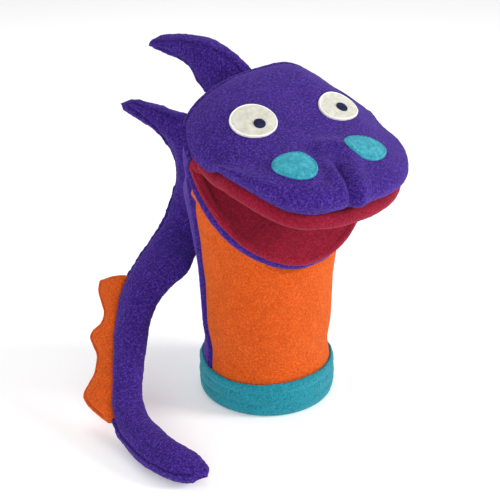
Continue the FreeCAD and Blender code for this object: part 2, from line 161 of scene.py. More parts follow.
def fix_normals(obj):
    work = bmesh.new()
    work.from_mesh(obj.data)
    bmesh.ops.remove_doubles(work, verts=work.verts, dist=1e-6)
    bmesh.ops.dissolve_degenerate(work, edges=work.edges, dist=1e-7)
    bmesh.ops.recalc_face_normals(work, faces=work.faces)
    work.to_mesh(obj.data)
    work.free()
    obj.data.polygons.foreach_set("use_smooth", [True] * len(obj.data.polygons))
    obj.data.update()
    return obj


def shell(name, outer, inner):
    """Closed sheet between two grids of points with the same rows and columns."""
    rows, cols = outer.shape[:2]
    points = np.vstack([outer.reshape(-1, 3), inner.reshape(-1, 3)])
    size = rows * cols
    faces = []

    def at(row, col, layer):
        return layer * size + row * cols + col

    for row in range(rows - 1):
        for col in range(cols - 1):
            faces.append((at(row, col, 0), at(row, col + 1, 0), at(row + 1, col + 1, 0), at(row + 1, col, 0)))
            faces.append((at(row, col, 1), at(row + 1, col, 1), at(row + 1, col + 1, 1), at(row, col + 1, 1)))
    for col in range(cols - 1):
        for row in (0, rows - 1):
            faces.append((at(row, col, 0), at(row, col, 1), at(row, col + 1, 1), at(row, col + 1, 0)))
    for row in range(rows - 1):
        for col in (0, cols - 1):
            faces.append((at(row, col, 0), at(row + 1, col, 0), at(row + 1, col, 1), at(row, col, 1)))
    return fix_normals(new_object(name, points, faces))


def tube(name, rings, closed_path=False):
    """Closed skin through rings of points (rings, around, 3), with its ends filled."""
    count, around = rings.shape[:2]
    faces = []
    for row in range(count if closed_path else count - 1):
        below = (row + 1) % count
        for col in range(around):
            side = (col + 1) % around
            faces.append((
                row * around + col, row * around + side, below * around + side, below * around + col
            ))
    points = rings.reshape(-1, 3)
    if not closed_path:
        centres = np.array([rings[0].mean(0), rings[-1].mean(0)])
        points = np.vstack([points, centres])
        for col in range(around):
            side = (col + 1) % around
            last = (count - 1) * around
            faces.append((side, col, count * around))
            faces.append((last + col, last + side, count * around + 1))
    return fix_normals(new_object(name, points, faces))


def bar(path, radius, around=8):
    """Rings of a round bar along a path (k, 3)."""
    path = np.asarray(path, float)
    tangent = unit(np.gradient(path, axis=0))
    side = unit(np.cross(tangent, np.array([0.13, 0.31, 0.94])))
    up = np.cross(side, tangent)
    return path[:, None] + circle(around, side, up[:, None]) * radius


def stitches(name, path, normals, length=2.4, gap=1.2, radius=0.32):
    """A row of short threads lying along a path of points with surface normals."""
    path = np.asarray(path, float)
    steps = np.r_[0, np.cumsum(np.linalg.norm(np.diff(path, axis=0), axis=1))]
    total = steps[-1]
    count = max(2, int(total / (length + gap)))
    points = []
    faces = []
    for index in range(count):
        begin = (index + 0.12) * total / count
        places = np.linspace(begin, begin + length, 5)
        line = np.stack([np.interp(places, steps, path[:, k]) for k in range(3)], 1)
        lift = np.stack([np.interp(places, steps, normals[:, k]) for k in range(3)], 1)
        arch = radius * np.array([-1.1, 0.35, 0.7, 0.35, -1.1])
        rings = bar(line + lift * arch[:, None], radius, 6)
        start = sum(len(p) for p in points)
        flat = rings.reshape(-1, 3)
        for row in range(4):
            for col in range(6):
                side = (col + 1) % 6
                faces.append(tuple(start + k for k in (
                    row * 6 + col, row * 6 + side, (row + 1) * 6 + side, (row + 1) * 6 + col)))
        faces.append(tuple(start + k for k in reversed(range(6))))
        faces.append(tuple(start + 24 + k for k in range(6)))
        points.append(flat)
    return fix_normals(new_object(name, np.vstack(points), faces))


def keep_rest(obj):
    """Store the resting place of every point, so that the cloth pattern moves with it."""
    attribute = obj.data.attributes.new("rest", "FLOAT_VECTOR", "POINT")
    flat = np.empty(len(obj.data.vertices) * 3, np.float32)
    obj.data.vertices.foreach_get("co", flat)
    attribute.data.foreach_set("vector", flat)


# ---------------------------------------------------------------- materials

class Cloth:
    """Node builder for one fabric: colour, pile and bump at their real scale."""

    def __init__(self, name, roughness, sheen, sheen_tint):
        self.material = bpy.data.materials.new(name)
        self.material.use_nodes = True
        self.tree = self.material.node_tree
        self.tree.nodes.clear()
        self.shader = self.add("ShaderNodeBsdfPrincipled")
        out = self.add("ShaderNodeOutputMaterial")
        self.tree.links.new(self.shader.outputs["BSDF"], out.inputs["Surface"])
        constants = {
            "Roughness": roughness, "Sheen Weight": sheen, "Sheen Roughness": 0.5,
            "Sheen Tint": (*sheen_tint, 1), "Specular IOR Level": 0.12,
        }
        for socket, value in constants.items():
            self.shader.inputs[socket].default_value = value
        self.rest = self.add("ShaderNodeAttribute")
        self.rest.attribute_name = "rest"

    def add(self, kind):
        return self.tree.nodes.new(kind)

    def link(self, source, target):
        self.tree.links.new(source, target)

    def noise(self, scale, detail=3.0, roughness=0.6, distortion=0.0):
        """Noise read at the resting place; scale is in waves per metre."""
        node = self.add("ShaderNodeTexNoise")
        node.inputs["Scale"].default_value = scale
        node.inputs["Detail"].default_value = detail
        node.inputs["Roughness"].default_value = roughness
        node.inputs["Distortion"].default_value = distortion
        self.link(self.rest.outputs["Vector"], node.inputs["Vector"])
        return node.outputs["Fac"]

    def ramp(self, source, stops):
        node = self.add("ShaderNodeValToRGB")
        ramp = node.color_ramp
        while len(ramp.elements) < len(stops):
            ramp.elements.new(0.5)
        for element, (place, colour) in zip(ramp.elements, stops):
            element.position = place
            element.color = (*colour, 1)
        self.link(source, node.inputs["Fac"])
        return node.outputs["Color"]

    def multiplied(self, first, second):
        """Product of two colours; sockets 6 and 7 are a colour mix node's A and B."""
        node = self.add("ShaderNodeMix")
        node.data_type = "RGBA"
        node.blend_type = "MULTIPLY"
        node.inputs[0].default_value = 1.0
        self.link(first, node.inputs[6])
        self.link(second, node.inputs[7])
        return node.outputs[2]

    def maths(self, operation, first, second):
        node = self.add("ShaderNodeMath")
        node.operation = operation
        for value, socket in zip((first, second), node.inputs):
            if isinstance(value, bpy.types.NodeSocket):
                self.link(value, socket)
            else:
                socket.default_value = value
        return node.outputs[0]

    def relief(self, height, strength, distance, below=None):
        node = self.add("ShaderNodeBump")
        node.inputs["Strength"].default_value = strength
        node.inputs["Distance"].default_value = distance
        self.link(height, node.inputs["Height"])
        if below is not None:
            self.link(below, node.inputs["Normal"])
        return node.outputs["Normal"]


def fleece(name, dark, base, light, sheen_tint, grain=1.0):
    """Short brushed pile: soft clumps a millimetre or two across with lighter tips."""
    cloth = Cloth(name, 0.95, 0.28, sheen_tint)
    clumps = cloth.noise(760, 4.0, 0.62, 0.35)
    tips = cloth.noise(1900, 2.0, 0.7)
    broad = cloth.noise(95, 3.0, 0.6)
    speckle = cloth.maths("ADD", cloth.maths("MULTIPLY", clumps, 0.68), cloth.maths("MULTIPLY", tips, 0.32))
    spread = 0.13 / grain
    pile = cloth.ramp(speckle, [(0.5 - spread, dark), (0.5, base), (0.5 + spread, light)])
    shade = cloth.ramp(broad, [(0.34, (0.88, 0.88, 0.88)), (0.66, (1.0, 1.0, 1.0))])
    cloth.link(cloth.multiplied(pile, shade), cloth.shader.inputs["Base Color"])
    coarse = cloth.relief(clumps, 0.55, 0.0011)
    fine = cloth.relief(tips, 0.45, 0.0005, coarse)
    cloth.link(fine, cloth.shader.inputs["Normal"])
    return cloth.material


def felt(name, dark, base, light, sheen_tint):
    """Pressed felt: matted fibres, finer and flatter than the fleece."""
    cloth = Cloth(name, 0.9, 0.12, sheen_tint)
    fibres = cloth.noise(1500, 5.0, 0.72, 1.6)
    blotch = cloth.noise(260, 3.0, 0.55, 0.4)
    both = cloth.maths("ADD", cloth.maths("MULTIPLY", fibres, 0.55), cloth.maths("MULTIPLY", blotch, 0.45))
    colour = cloth.ramp(both, [(0.36, dark), (0.5, base), (0.64, light)])
    cloth.link(colour, cloth.shader.inputs["Base Color"])
    cloth.link(cloth.relief(both, 0.4, 0.0006), cloth.shader.inputs["Normal"])
    return cloth.material


def thread(name, base, light):
    """Twisted polyester thread with fine slanting ply lines."""
    cloth = Cloth(name, 0.6, 0.1, light)
    ply = cloth.noise(2600, 1.0, 0.4, 0.8)
    cloth.link(cloth.ramp(ply, [(0.4, base), (0.62, light)]), cloth.shader.inputs["Base Color"])
    cloth.link(cloth.relief(ply, 0.5, 0.0002), cloth.shader.inputs["Normal"])
    return cloth.material


def board(name):
    """Stiff fibre board with a faint pressed grain."""
    cloth = Cloth(name, 0.75, 0.0, (1, 1, 1))
    grain = cloth.noise(900, 4.0, 0.6)
    colour = cloth.ramp(grain, [(0.35, (0.38, 0.30, 0.21)), (0.65, (0.55, 0.45, 0.33))])
    cloth.link(colour, cloth.shader.inputs["Base Color"])
    cloth.link(cloth.relief(grain, 0.3, 0.0003), cloth.shader.inputs["Normal"])
    return cloth.material


MATERIALS = {
    "purple_fleece": fleece(
        "purple_fleece", (0.010, 0.003, 0.075), (0.031, 0.010, 0.165),
        (0.092, 0.040, 0.330), (0.42, 0.26, 1.0)
    ),
    "orange_fleece": fleece(
        "orange_fleece", (0.400, 0.038, 0.005), (0.580, 0.078, 0.008),
        (0.740, 0.140, 0.016), (1.0, 0.45, 0.15), 0.8
    ),
    "red_fleece": fleece(
        "red_fleece", (0.112, 0.003, 0.010), (0.215, 0.005, 0.020),
        (0.345, 0.013, 0.042), (1.0, 0.22, 0.34), 0.8
    ),
    "turquoise_fleece": fleece(
        "turquoise_fleece", (0.006, 0.125, 0.180), (0.010, 0.210, 0.275),
        (0.030, 0.330, 0.400), (0.4, 0.9, 1.0), 0.8
    ),
    "pocket_lining": fleece(
        "pocket_lining", (0.02, 0.01, 0.10), (0.05, 0.025, 0.20), (0.12, 0.07, 0.33), (0.5, 0.4, 1.0)
    ),
    "cream_felt": felt("cream_felt", (0.44, 0.43, 0.35), (0.57, 0.56, 0.48), (0.68, 0.67, 0.60), (1, 1, 1)),
    "turquoise_felt": felt(
        "turquoise_felt", (0.012, 0.180, 0.250), (0.030, 0.290, 0.375), (0.080, 0.430, 0.510), (0.7, 1.0, 1.0)
    ),
    "navy_felt": felt(
        "navy_felt", (0.003, 0.004, 0.018), (0.007, 0.009, 0.036), (0.02, 0.022, 0.07), (0.3, 0.3, 0.8)
    ),
    "turquoise_thread": thread("turquoise_thread", (0.012, 0.17, 0.22), (0.04, 0.34, 0.42)),
    "white_thread": thread("white_thread", (0.72, 0.72, 0.68), (0.88, 0.88, 0.85)),
    "mouth_board": board("mouth_board"),
}


def dress(obj, material, body=None):
    """Give a piece its cloth and, if it stays rigid, its body.

    The slot has the cloth's own name.
    """
    keep_rest(obj)
    obj.data.materials.clear()
    obj.data.materials.append(MATERIALS[material])
    if body:
        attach(obj, body)
    return obj


def nap(grid, normals, amount=0.22, size=1.7):
    """Raise and lower a grid of points a little, as brushed pile does."""
    return grid + normals * (fuzz_field(grid, size) * amount)[..., None]


# ---------------------------------------------------------------- head

# Middle line of the head from the lip over the brow, then down the back: (forward of the
# fold, above the palate).
FACE_LINE = [
    (80, 9), (86, 15), (85, 22), (76, 27), (51, 28), (30, 30.5), (8, 34), (-15, 37.5), (-32, 38), (-41, 34)
]
BACK_LINE = [(-41, 34), (-47.5, 24), (-52, 10), (-53, -5), (-50, -18)]
HEAD_HALF_WIDTH = 71.0
CORNER = 7.0
# Felt places and sizes, fitted to the photograph by scratch programs and rounded.
EYES = {"right": (-33.8, 8.3), "left": (30.6, 11.2)}
PUPIL_SHIFT = {"right": (1.6, 4.4), "left": (0.9, 2.1)}
EYE_SHAPE = {"right": (15.4, 14.2, 0.43), "left": (16.2, 12.6, -0.35)}
NOSTRILS = {"right": (-29.7, 53.1), "left": (24.2, 52.2)}

# Lines of the tacked snout: (across, forward of the fold).
SNOUT_RIDGE = [(-10, 42), (-1, 40.5), (7, 43), (10, 50), (8.5, 58), (4.5, 69), (0.5, 78), (-1.5, 86)]
SNOUT_CREASE = [(-2.0, 53), (-3.4, 58), (-5.0, 67), (-6.6, 77), (-7.4, 83), (-7.7, 88)]
SNOUT_VALLEY = [(-13, 44), (-14, 53), (-17, 62), (-21, 70)]


def corner_angles(count, edge=0.012):
    """Angles from one mouth corner over to the other, closer together near the corners."""
    share = np.linspace(0, 1, count)
    eased = 0.5 - 0.5 * np.cos(math.pi * share)
    return edge + (math.pi - 2 * edge) * (0.35 * share + 0.65 * eased)


def tuck_share(fraction):
    """How far the lip is drawn up at the sides, most on the puppet's right."""
    side = np.abs(fraction)
    share = step_up(side, 0.6, 0.92) * (1 - step_up(side, 0.96, 1.0))
    return share * np.where(fraction < 0, 1.0, 0.25)


def head_point(line, theta, psi):
    """Point of a head line, drawn in towards the mouth corner; local head coordinates."""
    profile = smooth_line(line, psi)
    fraction = -np.cos(theta)
    x = fraction * HEAD_HALF_WIDTH
    rear = np.clip((8.0 - profile[:, 0]) / 45.0, 0, 1)
    behind = np.clip((-42.0 - profile[:, 0]) / 6.0, 0, 1)
    forward = profile[:, 0] * bulge(fraction, 2.5 - 0.7 * behind)
    flank = step_up(fraction, 0.1, 0.85) * step_up(profile[:, 0], 15, 60)
    above = CORNER + (profile[:, 1] - CORNER) * bulge(fraction, 2.5 - 0.75 * rear - 0.45 * flank)
    on_face = (profile[:, 0] > -42) & (profile[:, 1] > 0)
    corner_fade = 1 - step_up(np.abs(fraction), 0.95, 1.0)
    slump = rear * (3.4 * bump(x, 20, 16) - 2.0 * bump(x, 50, 14) - 1.5 * bump(x, -50, 15))
    slump -= 5.0 * bump(x, 60, 14) * step_up(-profile[:, 0], -60, -10)
    above = above + corner_fade * slump * np.where(on_face, 1.0, np.clip(1 - behind, 0, 1))
    front = step_up(profile[:, 0], 30, 78)
    tucked = tuck_share(fraction) * front * (1 - step_up(psi, 0.1, 0.62))
    above = above + 6.2 * tucked - 2.4 * bump(x, -31, 12) * front * (profile[:, 1] < 14)
    return np.stack([x, forward - 4.6 * tucked, above], -1)


def line_distance(x, y, line):
    """Distance from each place to a polyline, and how far along it the nearest point is."""
    line = np.asarray(line, float)
    best = np.full(x.shape, 1e9)
    along = np.zeros(x.shape)
    for index, (a, b) in enumerate(zip(line[:-1], line[1:])):
        way = b - a
        t = np.clip(((x - a[0]) * way[0] + (y - a[1]) * way[1]) / (way @ way), 0, 1)
        gap = np.hypot(x - a[0] - t * way[0], y - a[1] - t * way[1])
        near = gap < best
        best = np.where(near, gap, best)
        along = np.where(near, (index + t) / (len(line) - 1), along)
    return best, along


def face_relief(grid, psi):
    """How far the face stands proud of its plain dome: the snout's folds and swellings."""
    x, forward = grid[..., 0], grid[..., 1]
    ridge, ridge_at = line_distance(x, forward, SNOUT_RIDGE)
    crease, crease_at = line_distance(x, forward, SNOUT_CREASE)
    valley, valley_at = line_distance(x, forward, SNOUT_VALLEY)
    lip_fade = 0.12 + 0.88 * step_up(psi, 0.0, 0.16)
    lift = 3.0 * bump(ridge, 0, 5.6) * step_up(ridge_at, -0.1, 0.2) * lip_fade
    lift -= 3.2 * bump(crease, 0, 2.1) * step_up(crease_at, 0.0, 0.35) * lip_fade
    lift -= 1.3 * bump(crease, 0, 4.5) * step_up(crease_at, 0.2, 0.9) * lip_fade
    lift -= 2.0 * bump(valley, 0, 4.5) * (1 - 0.6 * valley_at)
    lift += 2.0 * bump(x, -10.5, 4.5) * bump(forward, 66, 12)
    for across, ahead in NOSTRILS.values():
        lift += 1.8 * bump(x, across, 15) * bump(forward, ahead, 13)
    lift -= 1.2 * bump(x, 0, 22) * bump(forward, 28, 13)
    return lift


def face_surface(grid, psi):
    place = tilted(grid, UPPER_TILT)
    normal = grid_normals(place)
    if normal[grid.shape[0] // 2, grid.shape[1] // 2, 2] < 0:
        normal = -normal
    return place + normal * face_relief(grid, psi)[..., None], normal


def make_face():
    """Purple face panel, its sewn rim and the tack under the nose."""
    psi, theta = np.meshgrid(np.linspace(0, 1, 150), corner_angles(190), indexing="ij")
    grid = head_point(FACE_LINE, theta.ravel(), psi.ravel()).reshape(*psi.shape, 3)
    outer, normal = face_surface(grid, psi)
    broad = fuzz_field(outer, 34.0, 2) * 0.55
    outer = outer + normal * broad[..., None]
    outer = nap(outer, normal)
    hem = []
    for share in (1.0, 0.6, 0.25):
        inward = grid[0] * np.array([1 - 0.07 * share, 1 - 0.06 * share, 1]) - np.array([0, 0, 3.6 * share])
        hem.append(tilted(inward, UPPER_TILT))
    outer = np.concatenate([hem, outer])
    normal = np.concatenate([normal[:1]] * 3 + [normal])
    skin = shell("face_skin", outer, outer - normal * FLEECE)
    dress(skin, "purple_fleece", "head")
    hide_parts("face_panel", "face_wadding", "snout_tack_stitches")


def face_patch(centre, half_width, half_length, turn, rings, around, wobble=0.0):
    """Oval on the face, from its middle out: points on the surface, normals and radii.

    wobble makes the outline a little uneven, as felt cut by hand is.
    """
    across, ahead = centre
    radius = np.linspace(0.02, 1, rings)
    angle = np.linspace(0, 2 * math.pi, around, endpoint=False)
    r, a = np.meshgrid(radius, angle, indexing="ij")
    uneven = 1 + wobble * (np.cos(2 * a + 0.9) * 0.5 + np.cos(3 * a + across * 0.1) * 0.6)
    u = half_width * r * np.cos(a) * uneven
    v = half_length * r * np.sin(a) * uneven
    x = across + u * math.cos(turn) - v * math.sin(turn)
    forward = ahead + u * math.sin(turn) + v * math.cos(turn)
    fraction = np.clip(x / HEAD_HALF_WIDTH, -0.98, 0.98)
    want = (forward / bulge(fraction, 2.5)).ravel()
    table_psi = np.linspace(0, 1, 600)
    table = smooth_line(FACE_LINE, table_psi)
    top = table[:, 0].argmax()
    psi = np.interp(want, table[top:, 0][::-1], table_psi[top:][::-1])
    theta = np.arccos(-fraction).ravel()

    def surface(d_theta, d_psi):
        local = head_point(FACE_LINE, theta + d_theta, psi + d_psi).reshape(*x.shape, 3)
        return local, tilted(local, UPPER_TILT)

    local, place = surface(0, 0)
    side = surface(0.01, 0)[1] - place
    along = surface(0, 0.004)[1] - place
    normal = unit(np.cross(side, along))
    normal[normal[..., 2] < 0] *= -1
    base = place + normal * face_relief(local, psi.reshape(x.shape))[..., None]
    return base, normal, r


def felt_disc(name, centre, half_width, half_length, turn, low, high, material, wobble=0.0):
    """Cut felt with a soft rounded edge, laid on the face."""
    base, normal, r = face_patch(centre, half_width, half_length, turn, 30, 120, wobble)
    rounded = np.sqrt(np.clip(1 - np.clip((r - 0.94) / 0.06, 0, 1) ** 2, 0, 1))
    height = low + (high - low) * rounded
    rough = fuzz_field(base, 1.2) * 0.08
    top = base + normal * (height + rough)[..., None]
    under = base[::-1] + normal[::-1] * (low - 0.5)
    disc = tube(name, np.concatenate([top, under]))
    return dress(disc, material, "head")


def edge_path(centre, half_width, half_length, turn, inset, lift, wobble=0.0):
    """Closed path just inside a disc's edge, with its normals."""
    base, normal, _ = face_patch(centre, half_width - inset, half_length - inset, turn, 2, 160, wobble)
    path = base[-1] + normal[-1] * lift
    return np.vstack([path, path[:1]]), np.vstack([normal[-1], normal[-1][:1]])


def make_eyes():
    for side, (across, ahead) in EYES.items():
        oval = EYE_SHAPE[side]
        eye = felt_disc("eye_felt_" + side, (across, ahead), *oval, 0.2, 1.2, "cream_felt")
        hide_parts("eye_" + side)
        rim, _ = edge_path((across, ahead), *oval, 0.75, 1.0)
        row = tube("eye_rim_" + side, bar(rim[:-1], 0.55, 8), True)
        dress(row, "white_thread", "head")
        shift = PUPIL_SHIFT[side]
        pupil_at = (across + shift[0], ahead + shift[1])
        pupil = felt_disc("pupil_felt_" + side, pupil_at, 3.9, 3.9, 0, 1.1, 1.9, "navy_felt")
        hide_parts("pupil_" + side)


def make_nostrils():
    for side, centre in NOSTRILS.items():
        oval = (13.9, 12.8, 0.6)
        nostril = felt_disc("nostril_felt_" + side, centre, *oval, 0.2, 1.3, "turquoise_felt", 0.09)
        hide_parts("nostril_" + side)
        path, lift = edge_path(centre, *oval, 1.5, 1.34, 0.09)
        row = stitches("nostril_stitches_" + side, path, lift, 2.0, 0.8, 0.26)
        dress(row, "turquoise_thread", "head")


# ---------------------------------------------------------------- mouth

UPPER = dict(half_width=66.0, depth=83.0, power=2.69)
LOWER = dict(half_width=69.0, depth=80.0, power=1.94)


def palate_grid(shape, profile, rows, cols, tilt):
    """Mouth lining from the fold line out to the lip.

    profile gives, for s from 0 to 1, (share of the depth, millimetres beyond it, height).
    """
    s, theta = np.meshgrid(np.linspace(0, 1, rows), corner_angles(cols, 0.02), indexing="ij")
    line = smooth_line(profile, s.ravel()).reshape(rows, cols, 3)
    fraction = -np.cos(theta)
    scale = bulge(fraction, shape["power"])
    out = line[..., 1] * np.minimum(1.0, 3 * scale)
    local = np.stack([
        fraction * (shape["half_width"] + 0.5 * out),
        line[..., 0] * shape["depth"] * scale + out * np.sqrt(np.clip(scale, 0, 1)),
        line[..., 2] * np.minimum(1.0, 0.35 + 2 * scale),
    ], -1)
    return tilted(local, tilt)


def rolled_lip(name, shape, tilt, radius, corner_radius, inward, above, raised, body, material):
    """Soft roll along a palate's edge, tapering to a round end at each mouth corner."""
    theta = corner_angles(230, 0.0)
    fraction = -np.cos(theta)
    scale = bulge(fraction, shape["power"])
    inward = inward[0] + (inward[1] - inward[0]) * step_up(fraction, -0.3, 0.8)
    tucked = tuck_share(fraction)
    local = np.stack([
        fraction * (shape["half_width"] - inward),
        (shape["depth"] - inward) * scale + 0.5 - 0.5 * raised * tucked,
        above + raised * tucked,
    ], -1)
    path = tilted(local, tilt)
    up = tilted(np.array([[0.0, 0, 1]]), tilt)[0] - FOLD
    side = unit(np.cross(unit(np.gradient(path, axis=0)), up))
    thick = corner_radius + (radius - corner_radius) * step_up(scale, 0.0, 0.5)
    rings = path[:, None] + circle(28, side, up) * thick[:, None, None]
    rings = round_end(round_end(rings, True, corner_radius), False, corner_radius)
    roll = tube(name, ring_nap(rings, 0.16, 0.45))
    dress(roll, material, body)
    return roll


def mouth_lining(name, shape, profile, size, tilt, wave, body):
    """Red lining sheet over a palate: wave is its unevenness as (size, height)."""
    rows, cols = size
    outer = palate_grid(shape, profile, rows, cols, tilt)
    normal = grid_normals(outer)
    inside = tilted(np.array([[0.0, 0, 1]]), tilt)[0] - FOLD
    if body == "head":
        inside = -inside
    if normal[30, cols // 2] @ inside < 0:
        normal = -normal
    outer = outer + normal * (fuzz_field(outer, wave[0], 2) * wave[1])[..., None]
    lining = shell(name, nap(outer, normal, 0.14), outer - normal * LINING)
    return dress(lining, "red_fleece", body)


def make_upper_mouth():
    """Red lining of the upper half, and the roll its edge makes under the purple lip."""
    profile = [(0.0, 0, 1.0), (0.3, 0, 2.0), (0.6, 0, 2.4), (0.86, 0, 2.0), (0.96, 0, 1.6)]
    lining = mouth_lining("upper_mouth_lining", UPPER, profile, (70, 130), UPPER_TILT, (16.0, 0.5), "head")
    rolled_lip("upper_lip_roll", UPPER, UPPER_TILT, 5.6, 4.6, (1.5, 4.6), 3.6, 3.6, "head", "red_fleece")
    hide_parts("upper_palate")


def make_lower_mouth():
    """Red lining of the jaw, sunk a little in the middle and rounded at the lip."""
    profile = [(0.0, 0, -1.2), (0.3, 0, -2.0), (0.6, 0, -1.6), (0.85, 0, 0.3), (0.97, 0, 1.3)]
    lining = mouth_lining("lower_mouth_lining", LOWER, profile, (90, 150), LOWER_TILT, (22.0, 0.6), "jaw")
    rolled_lip("lower_lip_edge", LOWER, LOWER_TILT, 3.2, 3.4, (2.4, 2.4), -1.8, 0.0, "jaw", "red_fleece")
    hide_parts("lower_palate")


def make_lip_band():
    """Purple roll between the red lower lip and the belly."""
    band = rolled_lip(
        "lower_lip_band_roll", LOWER, LOWER_TILT, 3.8, 2.8, (1.4, 1.8), -7.0, 0.0, "jaw", "purple_fleece"
    )
    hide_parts("lower_lip_band")


def make_mouth_corners():
    """Small stuffed gathers of the red lining that close the mouth corners."""
    turn = np.linspace(0.14, math.pi - 0.14, 16)
    around = np.linspace(0, 2 * math.pi, 24, endpoint=False)
    for name, side in (("right", -1), ("left", 1)):
        x = side * 65.5 + 4.6 * np.cos(turn)[:, None] + 0 * around
        forward = 1.5 + 6.4 * np.sin(turn)[:, None] * np.cos(around)
        above = 1.2 + 6.0 * np.sin(turn)[:, None] * np.sin(around)
        rings = tilted(np.stack([x, forward, above], -1), UPPER_TILT)
        gather = tube("mouth_corner_" + name, ring_nap(rings, 0.14, 0.3))
        dress(gather, "red_fleece", "head")


# ---------------------------------------------------------------- sleeve

def sleeve_point(angle, height):
    """Point on the sleeve; angle 0 is the front, pi the back."""
    rise = np.clip((height - STRAIGHT_TOP) / (FOLD[2] - STRAIGHT_TOP), 0, None)
    half_width = SLEEVE_RADIUS + FLARE * rise ** 1.2
    deep = SLEEVE_RADIUS + LEAN * rise * np.sign(np.cos(angle))
    return np.stack([half_width * np.sin(angle), -deep * np.cos(angle), height + 0 * angle], -1)


def seam_angle(height):
    """Where the orange belly meets the purple back, as an angle round the sleeve."""
    return np.radians(np.interp(height, [20, 60, 110, 150, 175, 190], [92, 99, 98, 91, 82, 78]))


def sleeve_wear(grid):
    """Soft hang of the tube: the pinch above the cuff and shallow upright folds."""
    radial = grid.copy()
    radial[..., 2] = 0
    radial = unit(radial)
    z = grid[..., 2]
    pinch = -2.2 * bump(z, 40, 13) + 1.2 * bump(z, 95, 30) * step_up(-grid[..., 0], -10, 40)
    folds = fuzz_field(grid * np.array([1, 1, 0.3]), 26.0, 2) * 0.9 * step_up(z, 26, 50)
    return grid + radial * (pinch + folds)[..., None], radial


def jaw_blend(skin):
    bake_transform(skin)


def make_sleeve_front():
    """Orange belly panel, from the cuff up to the purple band under the lip."""
    cols, rows, joint = 220, 120, 0.8
    share = np.linspace(-1, 1, cols)
    under = np.array([0, math.sin(LOWER_TILT), -math.cos(LOWER_TILT)])
    spread = np.radians(14)
    lip_angle = share * np.radians(99.6)
    fraction = 0.998 * np.sin(np.clip(lip_angle, -math.pi / 2, math.pi / 2))
    scale = bulge(fraction, LOWER["power"])
    lip = tilted(np.stack([
        fraction * LOWER["half_width"], (LOWER["depth"] - 2.5) * scale, np.full(cols, LIP_UNDER)
    ], -1), LOWER_TILT)
    beyond = np.clip(np.abs(lip_angle) - math.radians(83), 0, None)
    lip[:, 0] -= np.sign(share) * beyond * 38
    lip[:, 1] += beyond * 28
    lip[:, 2] += beyond * 24
    edge = SLEEVE_RADIUS * np.cos(lip_angle)
    top = np.clip(FOLD[2] + (LIP_UNDER + 0.875 * (-edge - FOLD[1])) / 0.485, 90, 168) - 9.0
    grid = np.empty((rows, cols, 3))
    t = np.linspace(0, 1, rows)
    for row in range(rows):
        height = PANEL_FOOT + (top - PANEL_FOOT) * min(1.0, t[row] / joint)
        angle = share * (seam_angle(height) + spread)
        low = sleeve_point(angle, height)
        if t[row] <= joint:
            grid[row] = low
            continue
        u = (t[row] - joint) / (1 - joint)
        start_pull = low + (low - sleeve_point(angle, height - 5.0)) * 1.2
        end_pull = lip + under * (3.0 + 13.0 * fraction ** 2)[:, None]
        grid[row] = (
            (1 - u) ** 3 * low + 3 * (1 - u) ** 2 * u * start_pull
            + 3 * (1 - u) * u ** 2 * end_pull + u ** 3 * lip
        )
    grid, radial = sleeve_wear(grid)
    high = step_up(t, joint - 0.1, 1.0)[:, None, None]
    tuck = step_up(np.abs(share)[None, :, None] + 0.08 * high, 0.85, 0.90)
    grid = grid - radial * (0.4 + (1.4 + 2.2 * high) * tuck)
    belly = shell("belly_skin", nap(grid, radial, 0.14), grid - radial * FLEECE)
    dress(belly, "orange_fleece")
    jaw_blend(belly)
    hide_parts("belly_panel")


def make_sleeve_back():
    """Purple back, from the cuff up past the mouth corners to the sewn rim of the head."""
    cols, rows = 240, 190
    share = np.linspace(-1, 1, cols)
    theta = math.pi / 2 - share * (math.pi / 2 - 0.012)
    controls = []
    for height in (PANEL_FOOT, 40.0, 60.0, 80.0, 100.0, 120.0, 140.0, 160.0):
        half = math.pi - seam_angle(height)
        controls.append(sleeve_point(math.pi + share * half, np.full(cols, height)))
    turn = share * math.pi / 2
    wide = -np.sign(share) * np.abs(np.sin(turn)) ** 1.3
    bulging = np.abs(np.cos(turn)) ** 1.3
    for height, half_width, back, front in ((176.0, 66.5, 43.5, -7.0), (190.0, 71.0, 45.5, -13.5)):
        y = front + (back - front) * bulging
        controls.append(np.stack([wide * half_width, y, np.full(cols, height)], -1))
    for psi in (0.6, 0.3, 0.0):
        local = head_point(BACK_LINE, theta, np.full(cols, psi))
        local[:, 0] *= 1.012
        controls.append(tilted(local, UPPER_TILT))
    for psi, lift in ((0.968, 1.0), (0.955, -0.6)):
        local = head_point(FACE_LINE, theta, np.full(cols, psi))
        place = tilted(local, UPPER_TILT)
        out = unit(place - tilted(np.array([[0.0, -10, 5]]), UPPER_TILT))
        controls.append(place + out * lift)
    stack = np.stack(controls)
    steps = np.concatenate([np.linspace(0, 12 / 14, rows - 40), np.linspace(12 / 14, 1, 41)[1:]])
    grid = smooth_line(stack.reshape(len(controls), -1), steps).reshape(len(steps), cols, 3)
    grid, _ = sleeve_wear(grid)
    normal = grid_normals(grid)
    if normal[20, cols // 2, 1] < 0:
        normal = -normal
    rim = bump(np.abs(share), 0.965, 0.02) * 1.3 - step_up(np.abs(share), 0.985, 1.0) * 1.8
    low_part = step_up(-steps, -0.66, -0.5)[:, None]
    grid = grid + normal * ((0.5 + rim[None, :]) * low_part)[..., None]
    skin = shell("back_skin", nap(grid, normal), grid - normal * FLEECE)
    dress(skin, "purple_fleece")
    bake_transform(skin)
    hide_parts("back_panel", "head_back_panel")


